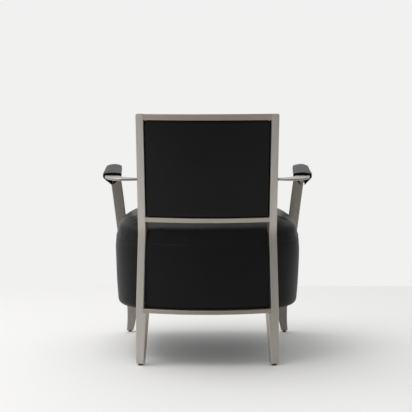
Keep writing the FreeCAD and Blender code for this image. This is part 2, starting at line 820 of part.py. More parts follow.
def build():
    parts = {}
    upright = rear_upright()
    blade = front_upright()
    foot = rear_foot_centre()
    front_foot = Vector(front_foot_x, front_y(glide_height), 0)
    nails = [glide_nail(foot), glide_nail(front_foot)]
    nails += [mirrored(n) for n in nails]

    bolts, washers, holes = [], [], []
    for z in bolt_heights():
        for at_rear in (True, False):
            for piece, group in zip(seat_bolt(z, at_rear), (bolts, washers, holes)):
                group += [piece, mirrored(piece)]
    pins = back_pins()

    stiles = [upright, mirrored(upright)]
    both("rear_upright", cut_all(upright, nails + bolts + pins), parts)
    both("front_upright", cut_all(blade, nails + bolts), parts)
    low_rail = rail(low_rail_bottom, low_rail_height, stiles)
    parts["low_rail"] = low_rail
    parts["middle_rail"] = rail(middle_rail_bottom, middle_rail_height, stiles)
    parts["top_rail"] = rail(frame_height - top_rail_height, top_rail_height, stiles)
    both("arm_bar", arm_bar([upright]), parts)
    both("arm_pad", arm_pad(), parts)
    parts["arm_sleeve_left"] = arm_sleeve(hem_gap_left)
    parts["arm_sleeve_right"] = mirrored(arm_sleeve(hem_gap_right))
    both("rear_glide", glide(foot, glide_radius), parts)
    both("front_glide", glide(front_foot, front_glide_radius), parts)
    parts["glide_nails"] = Part.makeCompound(nails)

    let_in = [rear_upright(let_in_clearance), front_upright(let_in_clearance)]
    let_in += [mirrored(p) for p in let_in]
    groove = rail(low_rail_bottom - let_in_clearance, low_rail_height + 2 * let_in_clearance, [])
    let_in.append(groove)
    parts["seat_leather_top"] = cut_all(seat_leather_top(), let_in)
    band_leather, rear_leather = split_at_uprights(seat_leather_band())
    band_padding, rear_padding = split_at_uprights(seat_band_foam())
    parts["seat_leather_band"] = cut_all(band_leather, let_in + holes)
    parts["seat_leather_rear"] = largest(cut_all(rear_leather, let_in + holes))
    parts["seat_band_foam"] = cut_all(band_padding, let_in + holes)
    parts["seat_rear_foam"] = cut_all(rear_padding, let_in + holes)
    parts["seat_skin_board"] = cut_all(seat_skin_board(), let_in + holes)
    parts["seat_base_ring"] = cut_all(seat_ring(seat_bottom + leather), let_in)
    parts["seat_top_ring"] = cut_all(seat_ring(ring_top - ring_board), let_in)
    parts["seat_posts"] = Part.makeCompound([cut_all(p, holes + let_in) for p in seat_posts()])
    parts["seat_webbing_along"] = Part.makeCompound(webbing(web_count_along, True, ring_top))
    across = webbing(web_count_across, False, ring_top + web_thickness)
    parts["seat_webbing_across"] = Part.makeCompound(across)
    parts["seat_cushion"] = cut_all(seat_cushion(), let_in)
    parts["seat_dust_cover"] = cut_all(seat_dust_cover(), let_in)
    parts["seat_bolts"] = Part.makeCompound(bolts)
    parts["seat_washers"] = Part.makeCompound(washers)

    rear_foam, rear_leather, front_foam, front_leather = back_pads()
    board = panel_board(leather)
    parts["back_board"] = cut_all(board, pins)
    parts["back_rear_foam"] = rear_foam.cut(board)
    parts["back_rear_leather"] = rear_leather.cut(board)
    parts["back_front_foam"] = front_foam.cut(board)
    parts["back_front_leather"] = front_leather.cut(board)
    parts["back_pins"] = Part.makeCompound(pins)
    return parts


os.makedirs("parts", exist_ok=True)
for name, shape in build().items():
    shape.exportStep("parts/" + name + ".step")
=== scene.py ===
import math

import bmesh
import bpy
import numpy as np
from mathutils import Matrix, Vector, noise


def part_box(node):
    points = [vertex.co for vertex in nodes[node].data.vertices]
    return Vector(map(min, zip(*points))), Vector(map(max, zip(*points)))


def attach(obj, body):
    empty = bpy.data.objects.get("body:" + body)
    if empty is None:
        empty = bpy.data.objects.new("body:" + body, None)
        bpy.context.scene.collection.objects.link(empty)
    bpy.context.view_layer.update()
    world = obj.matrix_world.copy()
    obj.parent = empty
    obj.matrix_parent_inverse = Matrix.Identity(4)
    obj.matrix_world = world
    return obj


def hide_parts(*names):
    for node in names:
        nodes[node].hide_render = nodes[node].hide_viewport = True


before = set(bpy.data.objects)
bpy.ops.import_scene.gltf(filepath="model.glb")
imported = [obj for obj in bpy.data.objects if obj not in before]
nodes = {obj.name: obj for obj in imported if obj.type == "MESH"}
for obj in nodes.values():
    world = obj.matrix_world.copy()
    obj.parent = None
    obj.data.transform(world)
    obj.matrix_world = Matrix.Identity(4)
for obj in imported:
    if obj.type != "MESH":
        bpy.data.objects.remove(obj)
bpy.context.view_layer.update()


# Rear frame: two cast uprights joined by three bowed rails, in aluminium with a satin champagne coat.
# The metal is brushed lengthwise before it is coated, so faint streaks run up the uprights
# and along the rails.

def calc(tree, operation, first, second=0.0):
    node = tree.nodes.new("ShaderNodeMath")
    node.operation = operation
    for socket, term in zip(node.inputs, (first, second)):
        if isinstance(term, (int, float)):
            socket.default_value = term
        else:
            tree.links.new(term, socket)
    return node.outputs[0]


def spread(tree, value, low, high, start=0.0, end=1.0):
    # Maps start..end of the value to low..high
    node = tree.nodes.new("ShaderNodeMapRange")
    node.inputs["From Min"].default_value = start
    node.inputs["From Max"].default_value = end
    node.inputs["To Min"].default_value = low
    node.inputs["To Max"].default_value = high
    tree.links.new(value, node.inputs["Value"])
    return node.outputs["Result"]


def cloud(tree, place, scale, detail=2.0):
    node = tree.nodes.new("ShaderNodeTexNoise")
    node.inputs["Detail"].default_value = detail
    if isinstance(scale, (int, float)):
        node.inputs["Scale"].default_value = scale
    else:
        tree.links.new(scale, node.inputs["Scale"])
    tree.links.new(place, node.inputs["Vector"])
    return node.outputs["Fac"]


def tint(tree, share, dark, light):
    node = tree.nodes.new("ShaderNodeMix")
    node.data_type = "RGBA"
    node.inputs["A"].default_value = (*dark, 1.0)
    node.inputs["B"].default_value = (*light, 1.0)
    tree.links.new(share, node.inputs["Factor"])
    return node.outputs["Result"]


def stretched(tree, place, scale, turn=(0.0, 0.0, 0.0)):
    node = tree.nodes.new("ShaderNodeMapping")
    node.inputs["Scale"].default_value = scale
    node.inputs["Rotation"].default_value = turn
    tree.links.new(place, node.inputs["Vector"])
    return node.outputs["Vector"]


def raised(tree, shader, height, strength, distance):
    node = tree.nodes.new("ShaderNodeBump")
    node.inputs["Strength"].default_value = strength
    node.inputs["Distance"].default_value = distance
    tree.links.new(height, node.inputs["Height"])
    tree.links.new(node.outputs["Normal"], shader.inputs["Normal"])


def effect(name, inputs, outputs):
    tree = bpy.data.node_groups.new(name, "ShaderNodeTree")
    for label, kind, value in inputs:
        socket = tree.interface.new_socket(label, in_out="INPUT", socket_type="NodeSocket" + kind)
        if value is not None:
            socket.default_value = value
    for label in outputs:
        tree.interface.new_socket(label, in_out="OUTPUT", socket_type="NodeSocketFloat")
    return tree, tree.nodes.new("NodeGroupInput").outputs, tree.nodes.new("NodeGroupOutput").inputs


def placed(tree, group, place, **values):
    node = tree.nodes.new("ShaderNodeGroup")
    node.node_tree = group
    tree.links.new(place, node.inputs["Place"])
    for label, value in values.items():
        node.inputs[label].default_value = value
    return node.outputs


def finish_start(name):
    material = bpy.data.materials.new(name)
    material.use_nodes = True
    tree = material.node_tree
    place = tree.nodes.new("ShaderNodeTexCoord").outputs["Object"]
    return material, tree, tree.nodes["Principled BSDF"], place


brushing, brush_in, brush_out = effect("lengthwise_brushing",
                                       [("Place", "Vector", None), ("Patch", "Float", 6.0)],
                                       ["Shade", "Height"])
streak = cloud(brushing, brush_in["Place"], 1.0, 3.0)
patch = cloud(brushing, brush_in["Place"], calc(brushing, "DIVIDE", 1.0, brush_in["Patch"]), 1.0)
brushing.links.new(calc(brushing, "ADD", calc(brushing, "MULTIPLY", streak, 0.55),
                        calc(brushing, "MULTIPLY", patch, 0.45)), brush_out["Shade"])
brushing.links.new(streak, brush_out["Height"])


def brushed_metal(name, scale, dark, light, roughness):
    material, tree, shader, place = finish_start(name)
    grain = placed(tree, brushing, stretched(tree, place, scale), Patch=9.0)
    tree.links.new(tint(tree, grain["Shade"], dark, light), shader.inputs["Base Color"])
    polish = spread(tree, grain["Shade"], roughness + 0.05, roughness - 0.05)
    tree.links.new(polish, shader.inputs["Roughness"])
    shader.inputs["Metallic"].default_value = 1.0
    raised(tree, shader, grain["Height"], 0.16, 0.0004)
    return material


def dress(material, *names):
    for name in names:
        nodes[name].material_slots[0].material = material


champagne_dark = (0.46, 0.43, 0.395)
champagne_light = (0.625, 0.59, 0.545)
dress(brushed_metal("champagne_upright", (620, 620, 14), champagne_dark, champagne_light, 0.42),
      "rear_upright_left", "rear_upright_right")
# The rails have the uprights' champagne coat drawn darker, which is painted shade.
dress(brushed_metal("champagne_rail_painted_shade", (12, 620, 620), (0.39, 0.35, 0.305), (0.53, 0.485, 0.43), 0.42),
      "top_rail", "middle_rail", "low_rail")


# Arms: flat steel bar, bent down at the front into the front upright and let into the rear stile.
# It has the frame's finish, with its streaks along the arm. The front uprights' coat is drawn darker,
# which is painted shade, and is smoother.

dress(brushed_metal("champagne_front_painted_shade", (620, 620, 14), (0.25, 0.23, 0.205), (0.385, 0.357, 0.323), 0.28),
      "front_upright_left", "front_upright_right")
dress(brushed_metal("champagne_bar", (620, 14, 620), (0.36, 0.335, 0.305), (0.50, 0.47, 0.435), 0.4),
      "arm_bar_left", "arm_bar_right")


# Glides and fixings: black nylon pads nailed under the feet, zinc-plated pins and nails, and blackened
# bolts and washers behind the legs. The moulded nylon is slightly pitted and the plating has a bloom.

nylon, tree, shader, place = finish_start("black_nylon")
pits = cloud(tree, place, 900.0, 3.0)
tree.links.new(tint(tree, cloud(tree, place, 120.0), (0.012, 0.012, 0.012), (0.03, 0.03, 0.029)),
               shader.inputs["Base Color"])
tree.links.new(spread(tree, pits, 0.5, 0.7), shader.inputs["Roughness"])
raised(tree, shader, pits, 0.3, 0.0002)
dress(nylon, "rear_glide_left", "rear_glide_right", "front_glide_left", "front_glide_right")


def plated_steel(name, dark, light):
    material, tree, shader, place = finish_start(name)
    bloom = cloud(tree, place, 260.0, 4.0)
    tree.links.new(tint(tree, bloom, dark, light), shader.inputs["Base Color"])
    tree.links.new(spread(tree, bloom, 0.3, 0.45), shader.inputs["Roughness"])
    shader.inputs["Metallic"].default_value = 1.0
    raised(tree, shader, bloom, 0.1, 0.0001)
    return material


zinc = plated_steel("zinc_plate", (0.48, 0.49, 0.5), (0.66, 0.66, 0.64))
dress(zinc, "back_pins", "glide_nails")
dress(plated_steel("blackened_steel", (0.02, 0.02, 0.021), (0.05, 0.049, 0.048)),
      "seat_bolts", "seat_washers")


# Carcass under the leather: plywood rings, a bent skin board round the drum and softwood corner posts,
# glued and screwed together before the upholstery goes on. The back board is stained black, because
# its edge shows in the groove between the two covers.

def timber(name, scale, dark, light):
    material, tree, shader, place = finish_start(name)
    fibre = cloud(tree, stretched(tree, place, scale), 1.0, 4.0)
    ring = cloud(tree, stretched(tree, place, tuple(s / 12.0 for s in scale)), 1.0, 1.0)
    figure = calc(tree, "ADD", calc(tree, "MULTIPLY", fibre, 0.5), calc(tree, "MULTIPLY", ring, 0.5))
    tree.links.new(tint(tree, figure, dark, light), shader.inputs["Base Color"])
    tree.links.new(spread(tree, fibre, 0.6, 0.8), shader.inputs["Roughness"])
    raised(tree, shader, fibre, 0.25, 0.0003)
    return material


dress(timber("birch_ply", (18, 420, 900), (0.42, 0.28, 0.15), (0.68, 0.5, 0.31)),
      "seat_base_ring", "seat_top_ring", "seat_skin_board")
dress(timber("stained_ply", (18, 420, 900), (0.008, 0.007, 0.007), (0.022, 0.020, 0.019)), "back_board")
dress(timber("pine_post", (380, 380, 16), (0.5, 0.33, 0.16), (0.74, 0.56, 0.34)), "seat_posts")


# Webbing and dust cover: black elastic straps stapled over the top ring in two layers, and a thin
# bonded black cloth that closes the bottom of the seat.

def strap(name, scale, axis):
    material, tree, shader, place = finish_start(name)
    wave = tree.nodes.new("ShaderNodeTexWave")
    wave.bands_direction = axis
    wave.inputs["Scale"].default_value = 260.0
    wave.inputs["Distortion"].default_value = 0.4
    tree.links.new(place, wave.inputs["Vector"])
    lint = cloud(tree, stretched(tree, place, scale), 1.0, 3.0)
    tree.links.new(tint(tree, lint, (0.012, 0.012, 0.012), (0.05, 0.048, 0.045)), shader.inputs["Base Color"])
    tree.links.new(spread(tree, lint, 0.75, 0.9), shader.inputs["Roughness"])
    raised(tree, shader, wave.outputs["Fac"], 0.5, 0.0006)
    return material


dress(strap("webbing_along", (300, 60, 300), "X"), "seat_webbing_along")
dress(strap("webbing_across", (60, 300, 300), "Y"), "seat_webbing_across")

cover, tree, shader, place = finish_start("bonded_cloth")
bond = tree.nodes.new("ShaderNodeTexVoronoi")
bond.inputs["Scale"].default_value = 420.0
tree.links.new(place, bond.inputs["Vector"])
tree.links.new(tint(tree, cloud(tree, place, 35.0, 4.0), (0.016, 0.016, 0.017), (0.04, 0.04, 0.042)),
               shader.inputs["Base Color"])
tree.links.new(spread(tree, bond.outputs["Distance"], 0.95, 0.75), shader.inputs["Roughness"])
raised(tree, shader, bond.outputs["Distance"], 0.45, 0.0004)
dress(cover, "seat_dust_cover")


# Seat band: black leather round a foam-padded drum, closed under the seat by a turned-in edge.
# The leather has a fine pebbled grain and soft unevenness where it is stretched over the foam.

grain_group, grain_in, grain_out = effect(
    "pebbled_grain",
    [("Place", "Vector", None), ("Pebble", "Float", 800.0), ("Unevenness", "Float", 0.4)],
    ["Height", "Tone"])
pebble = grain_group.nodes.new("ShaderNodeTexVoronoi")
pebble.feature = "DISTANCE_TO_EDGE"
grain_group.links.new(grain_in["Pebble"], pebble.inputs["Scale"])
grain_group.links.new(grain_in["Place"], pebble.inputs["Vector"])
furrow = calc(grain_group, "MINIMUM", calc(grain_group, "MULTIPLY", pebble.outputs["Distance"], 5.0), 1.0)
soft = cloud(grain_group, grain_in["Place"], 38.0, 3.0)
pore = cloud(grain_group, grain_in["Place"], calc(grain_group, "MULTIPLY", grain_in["Pebble"], 2.0), 2.0)
furrow_part = calc(grain_group, "MULTIPLY", furrow, 0.3)
pore_part = calc(grain_group, "MULTIPLY", pore, 0.2)
soft_part = calc(grain_group, "MULTIPLY", soft, calc(grain_group, "MULTIPLY", grain_in["Unevenness"], 6.0))
relief = calc(grain_group, "ADD", calc(grain_group, "ADD", furrow_part, pore_part), soft_part)
grain_group.links.new(relief, grain_out["Height"])
grain_group.links.new(cloud(grain_group, grain_in["Place"], 7.0, 5.0), grain_out["Tone"])


def leather(name, pebble_scale, unevenness, dark, light, roughness, gloss):
    material, tree, shader, place = finish_start(name)
    grain = placed(tree, grain_group, place, Pebble=pebble_scale, Unevenness=unevenness)
    tree.links.new(tint(tree, grain["Tone"], dark, light), shader.inputs["Base Color"])
    polish = spread(tree, grain["Tone"], roughness - 0.07, roughness + 0.07)
    tree.links.new(polish, shader.inputs["Roughness"])
    shader.inputs["Specular IOR Level"].default_value = gloss
    raised(tree, shader, grain["Height"], 0.35, 0.0006)
    return material


black_dark = (0.0028, 0.0026, 0.0029)
black_light = (0.0068, 0.0064, 0.0070)
seat_leather = leather("seat_leather", 820.0, 0.4, black_dark, black_light, 0.42, 0.2)

frame_radius = 0.595
waist_half_width = 0.2215
frame_levels = (0.0, 0.167, 0.420, 0.800)
frame_half_widths = (0.2276, 0.2284, waist_half_width, 0.2246)
waist_y = 0.20849
lean_levels = (0.0, 0.420, 0.800)
lean_offsets = (0.045, 0.0, 0.069)
seat_half_width = 0.305
seat_front_y = waist_y - 0.530
seat_recess = 0.005
rear_corner = 0.165
front_corner = 0.120
side_radius = 1.8
front_radius = 1.3
seat_bottom = 0.174
seam_height = 0.387
belly_height = 0.352
band_taper = 0.009
seam_pinch = 0.0025
bottom_roll = 0.018
drum_columns = 320
arc_steps = 60
weld = 1e-6
tool_weld = 0.0003


def frame_half_width(z):
    return float(np.interp(z, frame_levels, frame_half_widths))


def frame_y(z):
    return waist_y + float(np.interp(z, lean_levels, lean_offsets))


def frame_centre_y(z):
    return frame_y(z) - math.sqrt(frame_radius ** 2 - frame_half_width(z) ** 2)


seat_middle_y = (seat_front_y + frame_centre_y(seam_height) + frame_radius) / 2.0


def arc_points(centre, start, end, count):
    radius = np.hypot(*(start - centre))
    first = math.atan2(start[1] - centre[1], start[0] - centre[0])
    last = math.atan2(end[1] - centre[1], end[0] - centre[0])
    sweep = (last - first + math.pi) % (2 * math.pi) - math.pi
    angles = first + sweep * np.linspace(0.0, 1.0, count, endpoint=False)
    return centre + radius * np.column_stack((np.cos(angles), np.sin(angles)))


def round_corner(circle_a, radius_a, circle_b, radius_b, radius):
    apart = circle_b - circle_a
    gap = np.hypot(*apart)
    along = (gap ** 2 + (radius_a - radius) ** 2 - (radius_b - radius) ** 2) / (2 * gap)
    aside = math.sqrt((radius_a - radius) ** 2 - along ** 2)
    unit = apart / gap
    normal = np.array((-unit[1], unit[0]))
    centre = max((circle_a + unit * along + normal * aside * s for s in (1, -1)), key=lambda c: c[0])
    touch = [c + (centre - c) / np.hypot(*(centre - c)) * r
             for c, r in ((circle_a, radius_a), (circle_b, radius_b))]
    return centre, touch[0], touch[1]


def evenly(line, count):
    # Points at equal steps along a closed line
    loop = np.vstack((line, line[:1]))
    run = np.concatenate(([0.0], np.cumsum(np.linalg.norm(np.diff(loop, axis=0), axis=1))))
    marks = np.linspace(0.0, run[-1], count, endpoint=False)
    return np.column_stack([np.interp(marks, run, loop[:, k]) for k in range(loop.shape[1])])


def seat_ring(z, inset, scale=1.0, level=None):
    half = seat_half_width - inset
    rear = np.array((0.0, frame_centre_y(z)))
    rear_r = frame_radius - seat_recess - inset
    side = np.array((half - side_radius, seat_middle_y))
    front = np.array((0.0, seat_front_y + inset + front_radius))
    c1, t1, t2 = round_corner(rear, rear_r, side, side_radius, rear_corner - inset)
    c2, t3, t4 = round_corner(side, side_radius, front, front_radius, front_corner - inset)
    start = rear + (0.0, rear_r)
    end = front - (0.0, front_radius)
    arcs = ((rear, start, t1), (c1, t1, t2), (side, t2, t3), (c2, t3, t4), (front, t4, end))
    half_line = np.vstack([arc_points(*arc, arc_steps) for arc in arcs] + [end[None]])
    line = np.vstack((half_line, half_line[-2:0:-1] * (-1.0, 1.0)))
    line = evenly(line, drum_columns)
    line = (line - (0.0, seat_middle_y)) * scale + (0.0, seat_middle_y)
    return np.column_stack((line, np.full(drum_columns, z if level is None else level)))


def band_inset(z):
    if z <= belly_height:
        return band_taper * ((belly_height - z) / (belly_height - seat_bottom)) ** 1.5
    return seam_pinch * ((z - belly_height) / (seam_height - belly_height)) ** 2


def lofted(rows, loop=False, poles=()):
    # Quads between rows of equal length; a pole closes the first or last row
    count = len(rows[0])
    points = [tuple(p) for row in rows for p in row]
    faces = []
    for r in range(len(rows) if loop else len(rows) - 1):
        low, high = r * count, ((r + 1) % len(rows)) * count
        for c in range(count):
            d = (c + 1) % count
            faces.append((low + c, low + d, high + d, high + c))
    for row_index, pole in poles:
        points.append(pole)
        start = row_index * count
        for c in range(count):
            faces.append((start + c, start + (c + 1) % count, len(points) - 1))
    return points, faces


def made(name, points, faces, material):
    mesh = bpy.data.meshes.new(name)
    mesh.from_pydata(points, [], faces)
    shell = bmesh.new()
    shell.from_mesh(mesh)
    bmesh.ops.remove_doubles(shell, verts=shell.verts, dist=weld)
    bmesh.ops.recalc_face_normals(shell, faces=shell.faces)
    shell.to_mesh(mesh)
    shell.free()
    mesh.polygons.foreach_set("use_smooth", [True] * len(mesh.polygons))
    mesh.materials.append(material)
    piece = bpy.data.objects.new(name, mesh)
    bpy.context.scene.collection.objects.link(piece)
    return piece


def coordinates(piece):
    values = np.empty(len(piece.data.vertices) * 3)
    piece.data.vertices.foreach_get("co", values)
    return values.reshape(-1, 3)


def ripple(piece, amount, scale, share=None):
    # Moves the surface in and out by soft noise, where share says
    start = coordinates(piece)
    outward = np.empty(len(start) * 3)
    piece.data.vertices.foreach_get("normal", outward)
    scaled = start * np.array(scale)
    step = [amount * (share(Vector(p)) if share else 1.0) * noise.noise(Vector(q))
            for p, q in zip(start, scaled)]
    moved = start + outward.reshape(-1, 3) * np.array(step)[:, None]
    piece.data.vertices.foreach_set("co", moved.ravel())
    piece.data.update()


def near(height, reach):
    # Full share at a height, fading to none above and below it
    return lambda p: max(0.0, 1.0 - abs(p.z - height) / reach)


def settle(piece):
    # Turns what the modifiers give into the piece's own mesh
    graph = bpy.context.evaluated_depsgraph_get()
    mesh = bpy.data.meshes.new_from_object(piece.evaluated_get(graph), depsgraph=graph)
    piece.modifiers.clear()
    piece.data = mesh


def let_in(piece, names, gap):
    # Cuts the room for metal that is let into the upholstery
    for name in names:
        tool = bmesh.new()
        tool.from_mesh(nodes[name].data)
        bmesh.ops.remove_doubles(tool, verts=tool.verts, dist=tool_weld)
        tool.normal_update()
        for vertex in tool.verts:
            vertex.co += vertex.normal * gap
        mesh = bpy.data.meshes.new("room")
        tool.to_mesh(mesh)
        tool.free()
        cutter = bpy.data.objects.new("room", mesh)
        bpy.context.scene.collection.objects.link(cutter)
        cut = piece.modifiers.new("room", "BOOLEAN")
        cut.operation = "DIFFERENCE"
        cut.solver = "EXACT"
        cut.object = cutter
        settle(piece)
        bpy.data.objects.remove(cutter)


def upholstery(piece, fill, *names):
    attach(piece, "root")
    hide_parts(*names)


# Drops from the seam and insets of its fold
seam_edge = ((0.0001, 0.0009), (0.0006, 0.0003))
seam_fold = 0.0014
# Insets of the turned-in lip, and heights over the seat's bottom
lip = 0.036
lip_steps = (0.030, 0.033)
lip_root = 0.0262
lip_round = 0.0004
lip_top = 0.0015
# Insets of the padding's inner side, from its foot to the seam
padding_foot = 0.0035
padding = 0.0128
padding_top = 0.377
leather_inner = 0.0022
seam_inner = 0.0018
metal_room = 0.0004
profile = [(seam_height - drop, seam_pinch + inset) for drop, inset in seam_edge]
profile += [(z, band_inset(z)) for z in np.linspace(seam_height - seam_fold, belly_height, 6)]
profile += [(z, band_inset(z)) for z in np.linspace(belly_height, seat_bottom + bottom_roll, 26)[1:]]
for angle in np.radians((15, 30, 45, 60, 75, 90)):
    z = seat_bottom + bottom_roll * (1 - math.sin(angle))
    profile.append((z, band_inset(z) + bottom_roll * (1 - math.cos(angle))))
profile += [(seat_bottom, i) for i in (*lip_steps, lip - lip_round)]
profile += [(seat_bottom + lip_round, lip), (seat_bottom + lip_top - lip_round, lip)]
profile += [(seat_bottom + lip_top, lip_root), (seat_bottom + padding_foot, band_taper + padding)]
profile += [(padding_top, seam_pinch + padding), (padding_top, seam_pinch + leather_inner)]
profile += [(seam_height - seam_edge[0][0], seam_pinch + seam_inner)]
seat_band = made("seat_band", *lofted([seat_ring(z, inset) for z, inset in profile], loop=True), seat_leather)
ripple(seat_band, 0.0012, 11.0,
       lambda p: max(0.0, min(1.0, (p.z - seat_bottom) / 0.03, (seam_height - p.z) / 0.02)))
ripple(seat_band, 0.0012, (14.0, 14.0, 75.0), near(0.365, 0.021))
rear_metal = ("rear_upright_left", "rear_upright_right")
front_metal = ("front_upright_left", "front_upright_right")
let_in(seat_band, ("low_rail", *rear_metal, *front_metal), metal_room)
upholstery(seat_band, 0.95, "seat_leather_band", "seat_leather_rear", "seat_band_foam", "seat_rear_foam")


# Seat crown: a domed cushion in the same leather, sewn to the band and tied down at the seam.
# It is blown up like a real cushion, so that it swells between the seam and the middle.

cloth_frames = 20


def puffed(piece, pressure, cap, held):
    # Swells a closed skin by a short cloth run, held where it is sewn down
    start = coordinates(piece)
    pinned = piece.vertex_groups.new(name="sewn")
    pinned.add([i for i, p in enumerate(start) if held(p)], 1.0, "REPLACE")
    swell = piece.modifiers.new("swell", "CLOTH")
    swell.settings.quality = 5
    swell.settings.mass = 0.3
    swell.settings.vertex_group_mass = "sewn"
    swell.settings.use_pressure = True
    swell.settings.uniform_pressure_force = pressure
    swell.settings.effector_weights.gravity = 0.0
    swell.collision_settings.use_collision = False
    for step in range(1, cloth_frames + 1):
        bpy.context.scene.frame_set(step)
    settle(piece)
    bpy.context.scene.frame_set(1)
    moved = coordinates(piece) - start
    length = np.linalg.norm(moved, axis=1, keepdims=True)
    moved *= cap * np.tanh(length / cap) / np.maximum(length, 1e-9)
    piece.data.vertices.foreach_set("co", (start + moved).ravel())
    piece.data.update()
    piece.vertex_groups.clear()


crown_height = 0.080
crown_power = 2.0 / 4.3
crown_undersize = 0.002
crown_ease = 0.015
crown_rows = 50
curve_samples = 900
# Underside of the cushion, inside the band
crown_floor = 0.3816
floor_inset = 0.006
skirt_levels = (0.382, 0.385)
skirt_inset = 0.0026
# The shoulder leans forward at the rear, from a small rise upwards
rear_slope = 0.011
slope_start = 0.010
slope_reach = 0.050
rear_start = 0.10
rear_reach = 0.12
angles = np.radians(np.linspace(0.0, 89.5, curve_samples))
curve = np.column_stack((np.cos(angles) ** crown_power,
                         np.sin(angles) ** crown_power * (crown_height - crown_undersize)))
paces = np.hypot(np.diff(curve[:, 0]) * seat_half_width, np.diff(curve[:, 1]))
run = np.concatenate(([0.0], np.cumsum(paces)))
marks = np.linspace(0.0, run[-1], crown_rows)
rows = [seat_ring(seam_height, seam_pinch + floor_inset, s, crown_floor) for s in (0.25, 0.5, 0.75, 1.0)]
rows += [seat_ring(seam_height, seam_pinch + skirt_inset, 1.0, z) for z in skirt_levels]
rows += [seat_ring(seam_height, seam_pinch + inset, 1.0, seam_height + rise) for rise, inset in seam_edge]
for scale, rise in zip(np.interp(marks, run, curve[:, 0]), np.interp(marks, run, curve[:, 1])):
    inset = seam_pinch + crown_undersize * min(1.0, rise / crown_ease)
    row = seat_ring(seam_height, inset, scale, seam_height + seam_fold + rise)
    at_rear = np.clip((row[:, 1] - seat_middle_y - rear_start) / rear_reach, 0.0, 1.0)
    row[:, 1] -= rear_slope * min(1.0, max(0.0, rise - slope_start) / slope_reach) ** 2 * at_rear
    rows.append(row)
crown_top = seam_height + seam_fold + crown_height - crown_undersize
crown_poles = ((0, (0.0, seat_middle_y, crown_floor)), (len(rows) - 1, (0.0, seat_middle_y, crown_top)))
seat_crown = made("seat_crown", *lofted(rows, poles=crown_poles), seat_leather)
puffed(seat_crown, 4.0, 0.0035, lambda p: p[2] < seam_height + 0.002)
ripple(seat_crown, 0.0016, 9.0, lambda p: min(1.0, max(0.0, (p.z - 0.39) / 0.03)))
ripple(seat_crown, 0.0014, (15.0, 15.0, 60.0), near(0.412, 0.023))
let_in(seat_crown, rear_metal, metal_room)
upholstery(seat_crown, 0.85, "seat_leather_top", "seat_cushion")


# Back panel: foam on both faces of a curved board, each face covered in leather that rolls over the
# edge. The rear face is nearly flat, and the front face swells towards the sitter.

panel_low = 0.4711
panel_high = 0.7799
panel_side_gap = 0.0012
panel_corner = 0.003
rim_swell = 0.72
stile_width = 0.0264
turn = math.asin(waist_half_width / frame_radius)


def panel_half_angle(z):
    return math.asin((frame_half_width(z) - stile_width * math.cos(turn) - panel_side_gap) / frame_radius)


def panel_pad(name, base, bulge, roll, across, up, material):
    # Closed pad: a base that follows the board and a face that rolls down to it at the rim
    middle = (panel_low + panel_high) / 2.0
    half_height = (panel_high - panel_low) / 2.0
    face, flat = [], []
    for j in range(up + 1):
        v = math.sin(math.pi * (j / up - 0.5))
        v = 0.5 * v + 0.5 * (2.0 * j / up - 1.0)
        z = middle + half_height * v
        half = panel_half_angle(z) * frame_radius
        over = max(0.0, abs(v) * half_height - (half_height - panel_corner))
        reach = half - panel_corner + math.sqrt(max(0.0, panel_corner ** 2 - over ** 2))
        for i in range(across + 1):
            u = 2.0 * i / across - 1.0
            u = 0.5 * u + 0.5 * math.sin(math.pi * u / 2.0)
            side = half - panel_corner - abs(u) * reach
            end = half_height - panel_corner - abs(v) * half_height
            outside = math.hypot(max(0.0, -side), max(0.0, -end))
            edge = panel_corner + min(0.0, -outside) + max(0.0, min(side, end))
            edge = max(0.0, edge)
            rim = math.sqrt(max(0.0, 1.0 - (1.0 - min(1.0, edge / roll)) ** 2))
            crown = rim_swell + (1.0 - rim_swell) * (1.0 - u * u) * (1.0 - v * v)
            angle = u * reach / frame_radius
            for store, radius in ((face, base + bulge * rim * crown), (flat, base)):
                store.append((radius * math.sin(angle), frame_centre_y(z) + radius * math.cos(angle), z))
    wide = across + 1
    faces = []
    offset = len(face)
    for j in range(up):
        for i in range(across):
            a = j * wide + i
            faces.append((a, a + 1, a + wide + 1, a + wide))
            faces.append((a + offset, a + wide + offset, a + wide + 1 + offset, a + 1 + offset))
    rim_line = [i for i in range(wide)] + [j * wide + across for j in range(1, up + 1)]
    rim_line += [up * wide + i for i in range(across - 1, -1, -1)] + [j * wide for j in range(up - 1, 0, -1)]
    for a, b in zip(rim_line, rim_line[1:] + rim_line[:1]):
        faces.append((a, b, b + offset, a + offset))
    return made(name, face + flat, faces, material)


back_leather = leather("back_leather", 820.0, 0.35, black_dark, black_light, 0.44, 0.2)
board_rear = frame_radius - 0.010
board_front = board_rear - 0.009
board_gap = 0.0004
rear_swell, rear_roll = 0.0092, 0.009
front_swell, front_roll = -0.0342, 0.032
back_rear = panel_pad("back_rear_cover", board_rear + board_gap, rear_swell, rear_roll, 90, 72, back_leather)
ripple(back_rear, 0.0009, 10.0, lambda p: 1.0 if p.z > panel_low + 0.01 else 0.0)
upholstery(back_rear, 0.95, "back_rear_leather", "back_rear_foam")
back_front = panel_pad("back_front_cover", board_front - board_gap, front_swell, front_roll, 84, 68,
                       back_leather)
puffed(back_front, 3.0, 0.005,
       lambda p: math.hypot(p[0], p[1] - frame_centre_y(p[2])) > board_front - 0.002)
ripple(back_front, 0.0014, 9.0, lambda p: 1.0 if panel_low + 0.012 < p.z < panel_high - 0.012 else 0.0)
upholstery(back_front, 0.8, "back_front_leather", "back_front_foam")


# Arm sleeves: a strip of the same leather laid over a foam pad on the bar, its two edges sloping in
# below the bar to a hem. The sleeve is open at both ends, and the pad shows inside.

